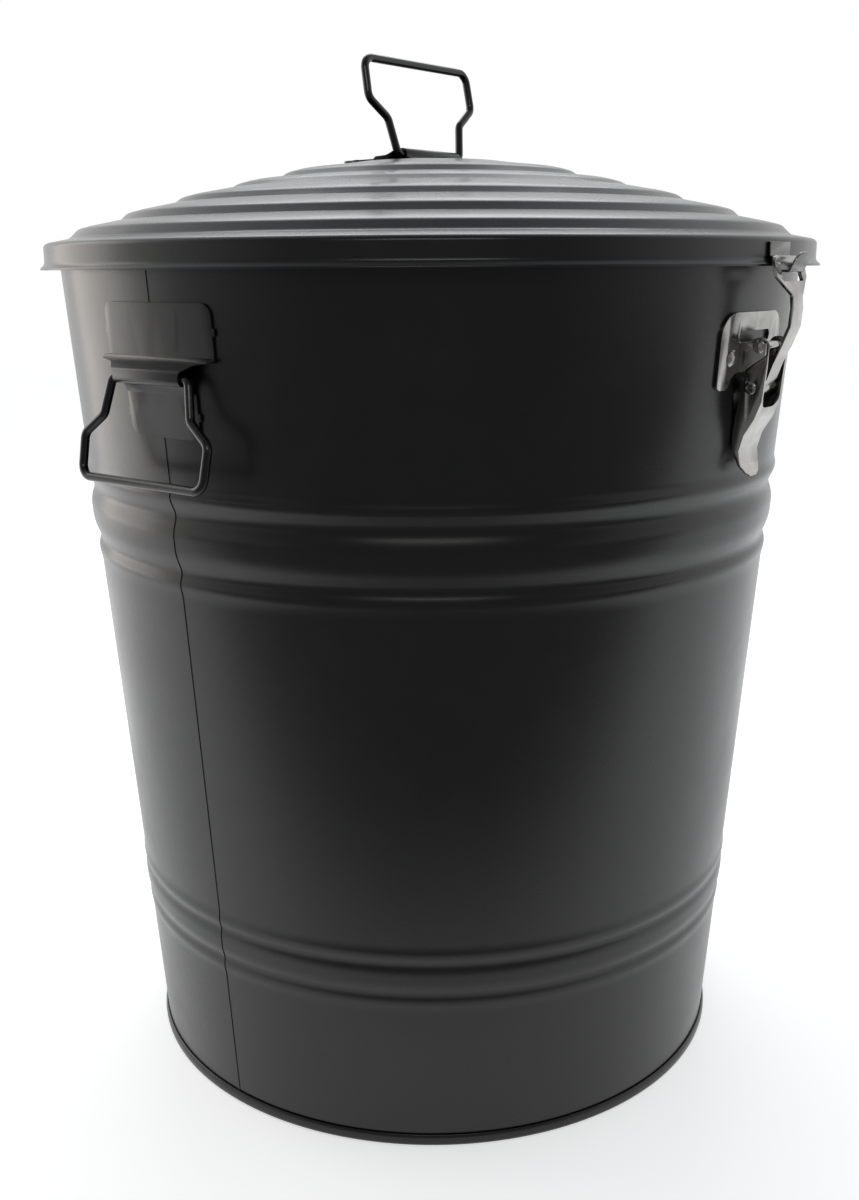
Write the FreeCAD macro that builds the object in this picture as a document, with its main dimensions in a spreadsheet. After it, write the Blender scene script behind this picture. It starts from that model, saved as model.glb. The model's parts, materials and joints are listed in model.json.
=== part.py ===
import FreeCAD, Part

import math
import os

import Sketcher
from FreeCAD import Placement, Rotation, Vector

# Steel bin with a stepped lid, three wire bails and two toggle latches.
# +Z is up and the origin is on the axis at the floor. The side handles stand on the X axis and the
# latches on the Y axis, the front latch towards -Y. Lengths are millimetres, angles are degrees.

# ---------------------------------------------------------------- driving sizes

SIZES = {
    "sheet": 0.8,
    # wall: outside radii at the rim and, carried down, at the floor
    "wall_height": 479.0,
    "wall_top_radius": 211.9,
    "wall_base_radius": 176.4,
    "rim_width": 6.2,
    "rim_drop": 6.5,
    "rim_chamfer": 1.0,
    "seam_width": 1.3,
    "seam_depth": 0.3,
    # recessed bottom and the foot ring seamed round the wall
    "floor_gap": 9.0,
    "foot_ring_height": 6.6,
    "foot_ring_bulge": 2.2,
    "foot_ring_flat": 3.0,
    "pan_knuckle": 4.0,
    "seam_clearance": 0.1,
    # lid: its skirt stands outside the wall's top radius by the overhang
    "lid_overhang": 7.5,
    "lid_lip": 2.4,
    "lid_lip_height": 3.0,
    "lid_lip_edge": 1.0,
    "lid_skirt": 14.1,
    "lid_corner": 1.6,
    "lid_seat_gap": 0.3,
    "lid_crown": 58.5,
    "lid_crown_radius": 45.0,
    "lid_crown_edge": 57.0,
    "ring_run": 5.0,
    "ring_shoulder": 6.0,
    "ring_shoulder_rise": 1.6,
    "ring_notch_run": 2.0,
    "ring_notch_depth": 0.6,
    # wire bails
    "wire": 4.5,
    "wire_clearance": 0.08,
    "wire_end_gap": 1.0,
    "bail_neck": 28.0,
    "bail_waist": 32.2,
    "bail_waist_drop": 19.5,
    "bail_hip": 46.0,
    "bail_hip_drop": 29.6,
    "bail_grip": 45.2,
    "bail_drop": 51.2,
    "bail_foot_bend": 4.2,
    "bail_knee_bend": 6.0,
    "bail_grip_bend": 6.5,
    "bail_lean": 11.0,
    # pressed strap plates that hold the bails
    "plate_sheet": 1.2,
    "plate_gap": 0.1,
    "plate_corner": 6.0,
    "nib_width": 1.3,
    "nib_height": 3.6,
    "wide_plate_width": 77.0,
    "wide_plate_height": 26.5,
    "narrow_plate_width": 51.0,
    "narrow_plate_height": 21.5,
    "sleeve_width": 48.4,
    "sleeve_rise": 5.5,
    "lid_sleeve_rise": 4.0,
    "sleeve_above": 8.5,
    "sleeve_below": 8.0,
    "cutback_run": 6.0,
    "cutback_rise": 3.8,
    "cutback_bend": 4.0,
    "cutback_sweep": 8.0,
    "handle_drop": 63.0,
    "lid_bail_lean": 10.4,
    # toggle latch, measured from its lever pivot
    "latch_drop": 51.2,
    "latch_reach": 10.1,
    "latch_sheet": 1.5,
    "latch_width": 63.0,
    "latch_above": 16.3,
    "latch_below": 21.2,
    "latch_corner": 12.0,
    "latch_foot_corner": 3.6,
    "latch_leg": 10.5,
    "latch_notch_rise": 8.6,
    "latch_notch_flat": 11.0,
    "latch_slot_width": 32.6,
    "latch_slot_height": 5.8,
    "latch_slot_above": 4.4,
    "rivet_spacing": 42.0,
    "rivet_below": 5.8,
    "rivet_head": 8.6,
    "rivet_rise": 1.9,
    "rivet_shank": 5.0,
    "rivet_clearance": 0.3,
    "ear_gap": 22.4,
    "ear_sheet": 1.6,
    "ear_nose": 3.9,
    "ear_root_below": 12.8,
    "ear_root_above": 1.4,
    "pivot_pin": 4.4,
    "pivot_head": 7.0,
    "pivot_head_rise": 1.1,
    "pin_clearance": 0.06,
    # lever
    "lever_width": 21.2,
    "lever_sheet": 1.2,
    "lever_nose": 4.2,
    "lever_slot_drop": 30.5,
    "lever_slot_round": 6.0,
    "lever_tip_round": 9.0,
    # claw
    "claw_pin_in": 4.6,
    "claw_pin_down": 20.6,
    "claw_pin": 5.0,
    "claw_pin_bore": 2.6,
    "claw_pin_flange": 6.6,
    "claw_pin_flange_rise": 0.5,
    "claw_sheet": 1.8,
    "claw_arm": 11.0,
    "claw_head": 33.0,
    "claw_bar": 3.2,
    "claw_window_width": 22.6,
    "claw_window_height": 8.8,
    "claw_shoulder_height": 9.0,
    "claw_head_corner": 2.4,
    "claw_eye_wall": 2.0,
    # catch on the lid skirt
    "catch_sheet": 1.2,
    "catch_width": 22.0,
    "catch_tab": 16.0,
    "catch_tab_round": 7.0,
    "catch_top": 11.5,
    "catch_clearance": 0.3,
    "catch_drop": 1.9,
    "catch_crook": 5.8,
    "catch_tab_run": 3.6,
    "catch_tab_rise": 8.6,
    "claw_bar_slack": 3.5,
    "claw_bar_gap": 0.8,
}

# rolled swages: the upper group's middle below the rim and the lower one's over the floor, then the
# stations down the wall, each as a height over that middle and how far the sheet stands out there
SWAGES = {
    "upper": (
        146.0,
        [(28.0, 0.0), (23.0, 1.7), (13.8, -1.9), (6.0, 1.6)]
        + [(-6.0, 1.7), (-16.0, -1.5), (-21.5, 1.2), (-28.0, 0.0)],
    ),
    "lower": (
        104.0,
        [(19.0, 0.0), (14.0, 0.9), (9.0, -0.4), (4.5, 0.9)]
        + [(-4.0, 0.9), (-9.0, -0.4), (-13.7, 0.8), (-19.0, 0.0)],
    ),
}

# stepped rings of the lid: foot radius, foot height over the lip and height of the riser; the radii of
# the rings and of the crown are those of a lid with the pattern radius, and keep their share of any other
LID_PATTERN_RADIUS = 219.4
RINGS = [
    (205.5, 16.5, 5.0),
    (178.5, 25.4, 4.7),
    (148.5, 34.6, 4.0),
    (117.0, 43.0, 3.2),
    (88.5, 48.8, 4.0),
]

# the lever's side outline as distances out from and below the pivot: its web's line, then its back line
LEVER_FRONT = [
    (3.6, -2.0),
    (3.9, 7.0),
    (1.9, 27.0),
    (-1.6, 36.0),
    (-6.9, 44.5),
    (-9.2, 52.5),
    (-8.4, 59.0),
    (-5.4, 65.4),
]
LEVER_BACK = [
    (-4.2, -0.6),
    (-7.3, 12.8),
    (-9.6, 23.2),
    (-11.9, 36.3),
    (-13.0, 45.1),
    (-12.6, 52.0),
    (-9.6, 59.9),
]

# the claw's arm as distances out from and above the lever pivot, along the middle of the strip
CLAW_ARM = [
    (0.9, -16.0),
    (3.7, -8.5),
    (8.0, 0.5),
    (11.8, 9.5),
    (12.6, 18.0),
    (12.0, 24.5),
    (8.3, 33.5),
]


class Dim:
    """A size that carries its number and its formula on the size sheet."""

    def __init__(self, value, text):
        self.value = float(value)
        self.text = text

    def __add__(self, other):
        other = dim(other)
        return Dim(self.value + other.value, f"({self.text} + {other.text})")

    def __sub__(self, other):
        other = dim(other)
        return Dim(self.value - other.value, f"({self.text} - {other.text})")

    def __mul__(self, other):
        other = dim(other)
        return Dim(self.value * other.value, f"({self.text} * {other.text})")

    def __truediv__(self, other):
        other = dim(other)
        return Dim(self.value / other.value, f"({self.text} / {other.text})")

    def __neg__(self):
        return Dim(-self.value, f"(-1 * {self.text})")

    def __radd__(self, other):
        return dim(other) + self

    def __rsub__(self, other):
        return dim(other) - self

    def __rmul__(self, other):
        return dim(other) * self


def dim(value):
    """A bare number or a Dim, as a Dim."""
    return value if isinstance(value, Dim) else Dim(value, f"({float(value):.6g})")


doc = FreeCAD.newDocument("steel_bin")
sheet_page = doc.addObject("Spreadsheet::Sheet", "sizes")
row_count = 0


def put_size(name, value):
    """Write one driving size as a plain number on the sheet and return it as a Dim."""
    global row_count
    row_count += 1
    sheet_page.set(f"A{row_count}", name)
    sheet_page.set(f"B{row_count}", f"{value:g}")
    sheet_page.setAlias(f"B{row_count}", name)
    return Dim(value, f"sizes.{name}")


class Sizes:
    """Every driving size by name."""


S = Sizes()
for size_name, size_value in SIZES.items():
    setattr(S, size_name, put_size(size_name, size_value))

swages = {}
for group, (offset, stations) in SWAGES.items():
    swages[group] = (
        put_size(f"{group}_swage_offset", offset),
        [
            (put_size(f"{group}_swage_up_{n}", up), put_size(f"{group}_swage_out_{n}", out))
            for n, (up, out) in enumerate(stations, 1)
        ],
    )

rings = [
    (
        put_size(f"ring_radius_{n}", radius),
        put_size(f"ring_height_{n}", height),
        put_size(f"ring_riser_{n}", riser),
    )
    for n, (radius, height, riser) in enumerate(RINGS, 1)
]

lever_front = [
    (put_size(f"lever_front_out_{n}", out), put_size(f"lever_front_down_{n}", down))
    for n, (out, down) in enumerate(LEVER_FRONT, 1)
]
lever_back = [
    (put_size(f"lever_back_out_{n}", out), put_size(f"lever_back_down_{n}", down))
    for n, (out, down) in enumerate(LEVER_BACK, 1)
]
claw_arm = [
    (put_size(f"claw_arm_out_{n}", out), put_size(f"claw_arm_up_{n}", up))
    for n, (out, up) in enumerate(CLAW_ARM, 1)
]
doc.recompute()

ZERO = dim(0)
TINY = 1e-7
taper = (S.wall_top_radius - S.wall_base_radius) / S.wall_height


def wall_radius(height):
    """Outside radius of the plain tapered wall at a height."""
    return S.wall_base_radius + taper * height


# ---------------------------------------------------------------- sketching


def origin_plane(body, role):
    """One of the body's own origin planes or axes, by its role."""
    return next(f for f in body.Origin.OriginFeatures if f.Role == role)


def new_body(name):
    body = doc.addObject("PartDesign::Body", name)
    body.Label = name
    return body


def new_sketch(body, name, plane, offset=None):
    """An empty sketch on one of the body's origin planes, its own origin moved by an offset if asked."""
    sketch = body.newObject("Sketcher::SketchObject", f"{body.Name}_{name}")
    sketch.AttachmentSupport = (origin_plane(body, plane), [""])
    sketch.MapMode = "FlatFace"
    if offset is not None:
        shift = [dim(size) for size in offset]
        sketch.AttachmentOffset = Placement(Vector(*[size.value for size in shift]), Rotation())
        for axis, size in zip("xyz", shift):
            sketch.setExpression(f"AttachmentOffset.Base.{axis}", size.text)
    return sketch


def bind(sketch, kind, first, first_pos, second, second_pos, size, name):
    """One named dimension between two points of a sketch, bound to a size."""
    index = sketch.addConstraint(Sketcher.Constraint(kind, first, first_pos, second, second_pos, size.value))
    sketch.renameConstraint(index, name)
    sketch.setExpression(f"Constraints.{name}", size.text)


def pin(sketch, geometry, position, point, name):
    """Hold a point at its two sizes, on an axis where a size is nothing."""
    for kind, axis, size, tag in (("DistanceX", -2, point[0], "x"), ("DistanceY", -1, point[1], "y")):
        if abs(size.value) < TINY:
            sketch.addConstraint(Sketcher.Constraint("PointOnObject", geometry, position, axis))
        else:
            bind(sketch, kind, -1, 1, geometry, position, size, f"{tag}_{name}")


def outline(sketch, corners, radii=None, closed=True, tag="p"):
    """Straight runs through the corners; a corner with a radius is rounded by a tangent arc."""
    points = [(dim(x), dim(y)) for x, y in corners]
    vectors = [Vector(x.value, y.value, 0) for x, y in points]
    radii = radii or {}
    count = len(points)
    runs = count if closed else count - 1
    ends = []
    for i in range(runs):
        ends.append([vectors[i], vectors[(i + 1) % count]])
    arcs = {}
    for i, radius in radii.items():
        before, here, after = vectors[i - 1], vectors[i], vectors[(i + 1) % count]
        towards = (before - here).normalize(), (after - here).normalize()
        half = math.acos(max(-1.0, min(1.0, towards[0].dot(towards[1])))) / 2
        cut = radius.value / math.tan(half)
        start, end = here + towards[0] * cut, here + towards[1] * cut
        centre = here + (towards[0] + towards[1]).normalize() * (radius.value / math.sin(half))
        ends[i - 1][1] = start
        ends[i][0] = end
        turn = [math.atan2(point.y - centre.y, point.x - centre.x) for point in (start, end)]
        if (turn[1] - turn[0]) % (2 * math.pi) > math.pi:
            turn.reverse()
        arcs[i] = Part.ArcOfCircle(Part.Circle(centre, Vector(0, 0, 1), radius.value), turn[0], turn[1])
    lines = [sketch.addGeometry(Part.LineSegment(a, b), False) for a, b in ends]
    for i in range(count):
        if i in arcs:
            arc = sketch.addGeometry(arcs[i], False)
            knot = sketch.addGeometry(Part.Point(vectors[i]), True)
            pin(sketch, knot, 1, points[i], f"{tag}{i}")
            sketch.addConstraint(Sketcher.Constraint("PointOnObject", knot, 1, lines[i - 1]))
            sketch.addConstraint(Sketcher.Constraint("PointOnObject", knot, 1, lines[i]))
            shape = sketch.Geometry[arc]
            first = 1 if (shape.StartPoint - ends[i - 1][1]).Length < 1e-4 else 2
            sketch.addConstraint(Sketcher.Constraint("Tangent", lines[i - 1], 2, arc, first))
            sketch.addConstraint(Sketcher.Constraint("Tangent", lines[i], 1, arc, 3 - first))
            index = sketch.addConstraint(Sketcher.Constraint("Radius", arc, radii[i].value))
            sketch.renameConstraint(index, f"round_{tag}{i}")
            sketch.setExpression(f"Constraints.round_{tag}{i}", radii[i].text)
        elif not closed and i == count - 1:
            pin(sketch, lines[i - 1], 2, points[i], f"{tag}{i}")
        else:
            pin(sketch, lines[i], 1, points[i], f"{tag}{i}")
            if closed or i > 0:
                sketch.addConstraint(Sketcher.Constraint("Coincident", lines[i - 1], 2, lines[i], 1))
    return sketch


def circle(sketch, centre, radius, tag="c"):
    """A circle held at its centre, its radius bound to a size."""
    x, y = dim(centre[0]), dim(centre[1])
    index = sketch.addGeometry(Part.Circle(Vector(x.value, y.value, 0), Vector(0, 0, 1), radius.value), False)
    pin(sketch, index, 3, (x, y), tag)
    bound = sketch.addConstraint(Sketcher.Constraint("Radius", index, radius.value))
    sketch.renameConstraint(bound, f"radius_{tag}")
    sketch.setExpression(f"Constraints.radius_{tag}", radius.text)
    return sketch


# ---------------------------------------------------------------- features


def revolve(body, sketch, angle=None, cut=False):
    """Turn a half profile round the sketch's upright axis; an angle is shared by both sides of the plane."""
    kind = "PartDesign::Groove" if cut else "PartDesign::Revolution"
    feature = body.newObject(kind, sketch.Name + ("_groove" if cut else "_turn"))
    feature.Profile = sketch
    feature.ReferenceAxis = (sketch, ["V_Axis"])
    feature.Angle = 360 if angle is None else angle.value
    if angle is not None:
        feature.setExpression("Angle", angle.text)
        feature.Midplane = True
    return feature


def pad(body, sketch, length, middle=True, name="_pad"):
    feature = body.newObject("PartDesign::Pad", sketch.Name + name)
    feature.Profile = sketch
    feature.Length = length.value
    feature.setExpression("Length", length.text)
    feature.Midplane = middle
    return feature


def pocket(body, sketch, length=None):
    """Cut both ways from the sketch plane, through everything or a bound length."""
    feature = body.newObject("PartDesign::Pocket", sketch.Name + "_cut")
    feature.Profile = sketch
    feature.Midplane = True
    if length is None:
        feature.Type = 1
    else:
        feature.Length = length.value
        feature.setExpression("Length", length.text)
    return feature


def fillet(body, radius, wanted, name="fillet"):
    """Round the edges of the body's tip that pass the test."""
    doc.recompute()
    tip = body.Tip
    edges = [f"Edge{n}" for n, edge in enumerate(tip.Shape.Edges, 1) if wanted(edge)]
    feature = body.newObject("PartDesign::Fillet", f"{body.Name}_{name}")
    feature.Base = (tip, edges)
    feature.Radius = radius.value
    feature.setExpression("Radius", radius.text)
    return feature


def degrees_for(width, radius):
    """The angle, in degrees, that an arc of a width takes at a radius."""
    return width / radius * (180 / math.pi)


def turn_to(body, yaw):
    """Turn a body made along +X round the bin's axis."""
    body.Placement = Placement(Vector(0, 0, 0), Rotation(Vector(0, 0, 1), yaw))


# ---------------------------------------------------------------- bin


def wall_stations():
    """Outside of the wall below the rim, from the top down, with every swage station."""
    stations = []
    for group in ("upper", "lower"):
        offset, points = swages[group]
        middle = S.wall_height - offset if group == "upper" else offset
        for up, out in points:
            height = middle + up
            stations.append((wall_radius(height) + out, height))
    return stations


def make_can_wall():
    body = new_body("can_wall")
    foot = S.sheet + S.seam_clearance
    top = S.wall_height
    rim = S.wall_top_radius + S.rim_width
    outside = [(wall_radius(foot), foot)] + list(reversed(wall_stations()))
    outside.append((wall_radius(top - S.sheet), top - S.sheet))
    rim_under = [
        (rim - S.sheet - S.rim_chamfer, top - S.sheet),
        (rim - S.sheet, top - S.sheet - S.rim_chamfer),
        (rim - S.sheet, top - S.rim_drop),
    ]
    rim_over = [(rim, top - S.rim_drop), (rim, top - S.rim_chamfer), (rim - S.rim_chamfer, top)]
    inside = [(wall_radius(top) - S.sheet, top)]
    inside += [(radius - S.sheet, height) for radius, height in wall_stations()]
    inside.append((wall_radius(foot) - S.sheet, foot))
    sketch = outline(new_sketch(body, "profile", "XZ_Plane"), outside + rim_under + rim_over + inside)
    revolve(body, sketch)

    # the side seam is a fine line down the sheet on the -X side, behind the left handle
    seam_outside = [(wall_radius(foot), ZERO)]
    seam_outside += [(radius, height) for radius, height in reversed(wall_stations())]
    seam_outside.append((wall_radius(top - S.rim_drop), top - S.rim_drop))
    proud = dim(2)
    floor_line = [(-(radius - S.seam_depth), height) for radius, height in seam_outside]
    air_line = [(-(radius + proud), height) for radius, height in reversed(seam_outside)]
    seam = outline(new_sketch(body, "seam", "XZ_Plane"), floor_line + air_line)
    revolve(body, seam, degrees_for(S.seam_width, S.wall_top_radius), cut=True)
    return body


def make_base_pan():
    body = new_body("base_pan")
    inner = wall_radius(ZERO) - S.sheet - S.seam_clearance
    outer = wall_radius(ZERO) + S.seam_clearance + taper * S.foot_ring_height
    bulge = wall_radius(ZERO) + S.foot_ring_bulge
    outside = [
        (ZERO, S.floor_gap),
        (inner - S.pan_knuckle, S.floor_gap),
        (inner - S.sheet, S.floor_gap - S.pan_knuckle),
        (inner - S.sheet, ZERO),
        (inner - S.sheet + S.foot_ring_flat, ZERO),
        (bulge, S.foot_ring_height * 0.25),
        (bulge, S.foot_ring_height * 0.7),
        (outer + S.sheet, S.foot_ring_height),
        (outer, S.foot_ring_height),
        (outer, S.sheet),
        (inner, S.sheet),
        (inner, S.floor_gap + S.sheet - S.pan_knuckle),
        (inner - S.pan_knuckle, S.floor_gap + S.sheet),
        (ZERO, S.floor_gap + S.sheet),
    ]
    revolve(body, outline(new_sketch(body, "profile", "XZ_Plane"), outside))
    return body


# ---------------------------------------------------------------- lid

lid_height = S.wall_height + S.lid_seat_gap + S.sheet - S.lid_skirt
lid_radius = S.wall_top_radius + S.lid_overhang
lid_growth = lid_radius / LID_PATTERN_RADIUS


def make_lid_shell():
    body = new_body("lid_shell")
    skirt_in = lid_radius - S.sheet
    skin = [
        (lid_radius + S.lid_lip, lid_height),
        (lid_radius + S.lid_lip, lid_height + S.lid_lip_edge),
        (lid_radius, lid_height + S.lid_lip_height),
        (lid_radius, lid_height + S.lid_skirt - S.lid_corner),
        (lid_radius - S.lid_corner, lid_height + S.lid_skirt),
    ]
    under = [(skirt_in - S.lid_corner * 0.6, lid_height + S.lid_skirt - S.sheet)]
    for n, (pattern_radius, height, riser) in enumerate(rings):
        radius = pattern_radius * lid_growth
        base = lid_height + height
        if n > 0:
            skin.append((radius + S.ring_notch_run, base + S.ring_notch_depth))
        skin.append((radius, base))
        top = base + riser
        skin.append((radius - S.ring_run, top))
        skin.append((radius - S.ring_run - S.ring_shoulder, top + S.ring_shoulder_rise))
        under.append((radius - S.sheet * 0.5, base - S.sheet))
        under.append((radius - S.ring_run - S.sheet * 0.5, top - S.sheet))
    crown = lid_height + S.lid_crown
    crown_radius = S.lid_crown_radius * lid_growth
    skin += [
        (crown_radius + 10.0, lid_height + S.lid_crown_edge),
        (crown_radius, crown),
        (ZERO, crown),
    ]
    under += [(crown_radius, crown - S.sheet), (ZERO, crown - S.sheet)]
    inside = list(reversed(under))
    inside += [
        (skirt_in, lid_height + S.lid_skirt - S.sheet - S.lid_corner * 0.6),
        (skirt_in, lid_height + S.lid_lip_height - S.lid_lip_edge),
        (lid_radius + S.lid_lip * 0.5, lid_height),
    ]
    revolve(body, outline(new_sketch(body, "profile", "XZ_Plane"), skin + inside))
    return body


# ---------------------------------------------------------------- wire bails and their strap plates

wire_radius = S.wire / 2
sleeve_bore = wire_radius + S.wire_clearance


def make_bail(name):
    """A bent wire bail hanging along -Z from its hinge line on Y."""
    body = new_body(name)
    path = new_sketch(body, "path", "YZ_Plane")
    side = [
        (S.bail_neck, ZERO),
        (S.bail_waist, -S.bail_waist_drop),
        (S.bail_hip, -S.bail_hip_drop),
        (S.bail_grip, -S.bail_drop),
    ]
    corners = [(ZERO, ZERO)] + side + [(-y, z) for y, z in reversed(side)] + [(-S.wire_end_gap, ZERO)]
    bends = [S.bail_foot_bend, S.bail_knee_bend, S.bail_knee_bend, S.bail_grip_bend]
    radii = {n: bend for n, bend in enumerate(bends + bends[::-1], 1)}
    outline(path, corners, radii, closed=False)
    section = circle(new_sketch(body, "section", "XZ_Plane"), (ZERO, ZERO), wire_radius)
    doc.recompute()
    pipe = body.newObject("PartDesign::AdditivePipe", f"{name}_wire")
    pipe.Profile = section
    pipe.Spine = (path, [f"Edge{n}" for n in range(1, len(path.Shape.Edges) + 1)])
    return body


def strap_side_view(sketch, surface, hinge_out, hinge_up, deep):
    """Side view of the pressed sleeve: off the upper sheet, round the wire and back to the lower sheet."""
    outer = sleeve_bore + S.plate_sheet
    high, low = hinge_up + S.sleeve_above, hinge_up - S.sleeve_below
    thick = S.plate_sheet
    high_face = surface(high) + S.plate_gap + thick
    low_face = surface(low) + S.plate_gap + thick
    front, under = hinge_out + outer, hinge_up - outer
    skin = [
        (deep, high + thick),
        (high_face, high + thick),
        (high_face + thick, high - thick * 0.5),
        (front, hinge_up + outer),
        (front, under),
        (low_face + thick * 1.4, under),
        (low_face, low),
        (deep, low),
    ]
    lining = [
        (deep, low + thick),
        (low_face - thick * 0.5, low + thick),
        (low_face + thick * 0.7, under + thick),
        (front - thick, under + thick),
        (front - thick, hinge_up + outer - thick * 0.3),
        (high_face, high - thick * 1.4),
        (deep, high),
    ]
    bends = {3: outer * 0.5, 4: outer * 0.9, len(skin) + 3: sleeve_bore * 0.95}
    outline(sketch, skin + lining, bends)


def make_strap_plate(name, surface, hinge_out, hinge_up, curved):
    """Strap plate that holds a bail: wide upper sheet, sleeve with cut-back ends, narrow lower sheet."""
    body = new_body(name)
    outer = sleeve_bore + S.plate_sheet
    high, low = hinge_up + S.sleeve_above, hinge_up - S.sleeve_below
    bottom, top = low - S.narrow_plate_height, high + S.wide_plate_height
    deep = surface(bottom) - 8.0 if curved else surface(bottom) + S.plate_gap

    sketch = new_sketch(body, "sleeve", "XZ_Plane")
    strap_side_view(sketch, surface, hinge_out, hinge_up, deep)
    pad(body, sketch, S.wide_plate_width)

    # curved cut-backs bare the bends of the wire at both ends of the sleeve
    for tag, side in (("near", -1), ("far", 1)):
        inner = S.sleeve_width / 2 * side
        past = (S.wide_plate_width / 2 + 3.0) * side
        corners = [
            (inner, low - 2.0),
            (inner, hinge_up + outer - 0.6),
            (inner + S.cutback_run * side, hinge_up + outer + S.cutback_rise - 0.6),
            (past, high - S.plate_sheet * 0.3),
            (past, low - 2.0),
        ]
        sketch = new_sketch(body, f"cutback_{tag}", "YZ_Plane")
        outline(sketch, corners, {1: S.cutback_bend, 2: S.cutback_sweep})
        pocket(body, sketch)

    # the sleeve is pressed straight across while the wall curves away behind it
    if curved:
        core = [
            (deep - 4.0, bottom - 4.0),
            (surface(bottom - 4.0) + S.plate_gap, bottom - 4.0),
            (surface(top + 4.0) + S.plate_gap, top + 4.0),
            (deep - 4.0, top + 4.0),
        ]
        sketch = outline(new_sketch(body, "wall_side", "XZ_Plane"), core)
        revolve(body, sketch, degrees_for(S.wide_plate_width * 1.4, surface(hinge_up)), cut=True)

    # each sheet has a short nib in the middle of both its sides, where the strap was cut from its strip
    sheets = [
        ("upper", high, top, S.wide_plate_width),
        ("lower", bottom, low + S.plate_sheet * 0.5, S.narrow_plate_width),
    ]
    for tag, start, end, width in sheets[:]:
        middle = (start + end) / 2
        reach = S.nib_height / 2
        sheets.append((f"{tag}_nibs", middle - reach, middle + reach, width + S.nib_width * 2))
    for tag, start, end, width in sheets:
        back = S.plate_gap
        strip = [
            (surface(start) + back, start),
            (surface(start) + back + S.plate_sheet, start),
            (surface(end) + back + S.plate_sheet, end),
            (surface(end) + back, end),
        ]
        sketch = outline(new_sketch(body, tag, "XZ_Plane"), strip)
        if curved:
            revolve(body, sketch, degrees_for(width, surface(hinge_up)))
        else:
            pad(body, sketch, width)

    def is_corner(edge):
        centre = edge.BoundBox.Center
        at_end = abs(centre.z - top.value) < 1.0 or abs(centre.z - bottom.value) < 1.0
        return at_end and edge.Length < 1.5 * S.plate_sheet.value

    fillet(body, S.plate_corner, is_corner)
    return body


# ---------------------------------------------------------------- toggle latch

pivot_up = S.wall_height - S.latch_drop
pivot_out = wall_radius(pivot_up) + S.latch_reach
claw_pin_out = pivot_out - S.claw_pin_in
claw_pin_up = pivot_up - S.claw_pin_down
catch_face = lid_radius + S.lid_lip + S.catch_clearance + S.catch_sheet
catch_floor = lid_height - S.catch_drop
claw_head_out = catch_face + S.claw_bar_gap + S.claw_sheet / 2
claw_bar_low = catch_floor + S.claw_bar_slack


def both_sides(points):
    """The points of a half outline, then the same mirrored in the Z axis, as one closed run."""
    return points + [(-dim(y), z) for y, z in reversed(points)]


def make_latch_base(name, yaw):
    """Plate on the wall with a slot, a notch between two legs and two ears for the lever pin."""
    body = new_body(name)
    low, high = pivot_up - S.latch_below, pivot_up + S.latch_above
    face = S.plate_gap + S.latch_sheet
    root_low, root_high = pivot_up - S.ear_root_below, pivot_up + S.ear_root_above
    nose = S.ear_nose
    ear = [
        (wall_radius(root_low) + S.plate_gap + 0.3, root_low),
        (wall_radius(root_low) + face + 1.0, root_low),
        (pivot_out + nose * 0.9, pivot_up - nose * 1.15),
        (pivot_out + nose, pivot_up + nose),
        (pivot_out - nose * 1.2, pivot_up + nose * 0.9),
        (wall_radius(root_high) + S.plate_gap + 0.3, root_high),
    ]
    sketch = outline(new_sketch(body, "ears", "XZ_Plane"), ear, {2: nose * 0.7, 3: nose * 0.9, 4: dim(6)})
    pad(body, sketch, S.ear_gap + S.ear_sheet * 2)
    hole = new_sketch(body, "pin_hole", "XZ_Plane")
    pocket(body, circle(hole, (pivot_out, pivot_up), S.pivot_pin / 2 + S.pin_clearance))
    between = [
        (pivot_out - S.latch_reach - 4.0, low),
        (pivot_out + nose * 2, low),
        (pivot_out + nose * 2, high),
        (pivot_out - S.latch_reach - 4.0, high),
    ]
    pocket(body, outline(new_sketch(body, "between_ears", "XZ_Plane"), between), S.ear_gap)

    strip = [
        (wall_radius(low) + S.plate_gap, low),
        (wall_radius(low) + face, low),
        (wall_radius(high) + face, high),
        (wall_radius(high) + S.plate_gap, high),
    ]
    sketch = outline(new_sketch(body, "plate", "XZ_Plane"), strip)
    revolve(body, sketch, degrees_for(S.latch_width, wall_radius(pivot_up)))
    half, tall = S.latch_slot_width / 2, S.latch_slot_height
    slot_mid = pivot_up + S.latch_slot_above
    slot = [(half, slot_mid - tall / 2), (half, slot_mid + tall / 2), (-half, slot_mid + tall / 2),
            (-half, slot_mid - tall / 2)]
    sketch = new_sketch(body, "slot", "YZ_Plane")
    pocket(body, outline(sketch, slot, {n: tall * 0.49 for n in range(4)}))
    leg = S.latch_width / 2 - S.latch_leg
    notch = both_sides([
        (leg + 0.8, low - 2.0),
        (leg, low + S.latch_notch_rise * 0.55),
        (leg - 3.4, low + S.latch_notch_rise * 0.88),
        (S.latch_notch_flat, low + S.latch_notch_rise),
    ])
    bends = {n: dim(2) for n in (1, 2, 5, 6)}
    pocket(body, outline(new_sketch(body, "notch", "YZ_Plane"), notch, bends))
    for tag, side in (("near", -1), ("far", 1)):
        hole = new_sketch(body, f"rivet_hole_{tag}", "YZ_Plane")
        centre = (S.rivet_spacing / 2 * side, pivot_up - S.rivet_below)
        pocket(body, circle(hole, centre, S.rivet_shank / 2 + S.rivet_clearance))

    def is_top_corner(edge):
        return edge.Length < 1.3 * S.latch_sheet.value and edge.BoundBox.Center.z > high.value - 1.0

    def is_leg_corner(edge):
        return edge.Length < 1.3 * S.latch_sheet.value and edge.BoundBox.Center.z < low.value + 0.3

    fillet(body, S.latch_corner, is_top_corner, "shoulders")
    fillet(body, S.latch_foot_corner, is_leg_corner, "feet")
    turn_to(body, yaw)
    return body


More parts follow.
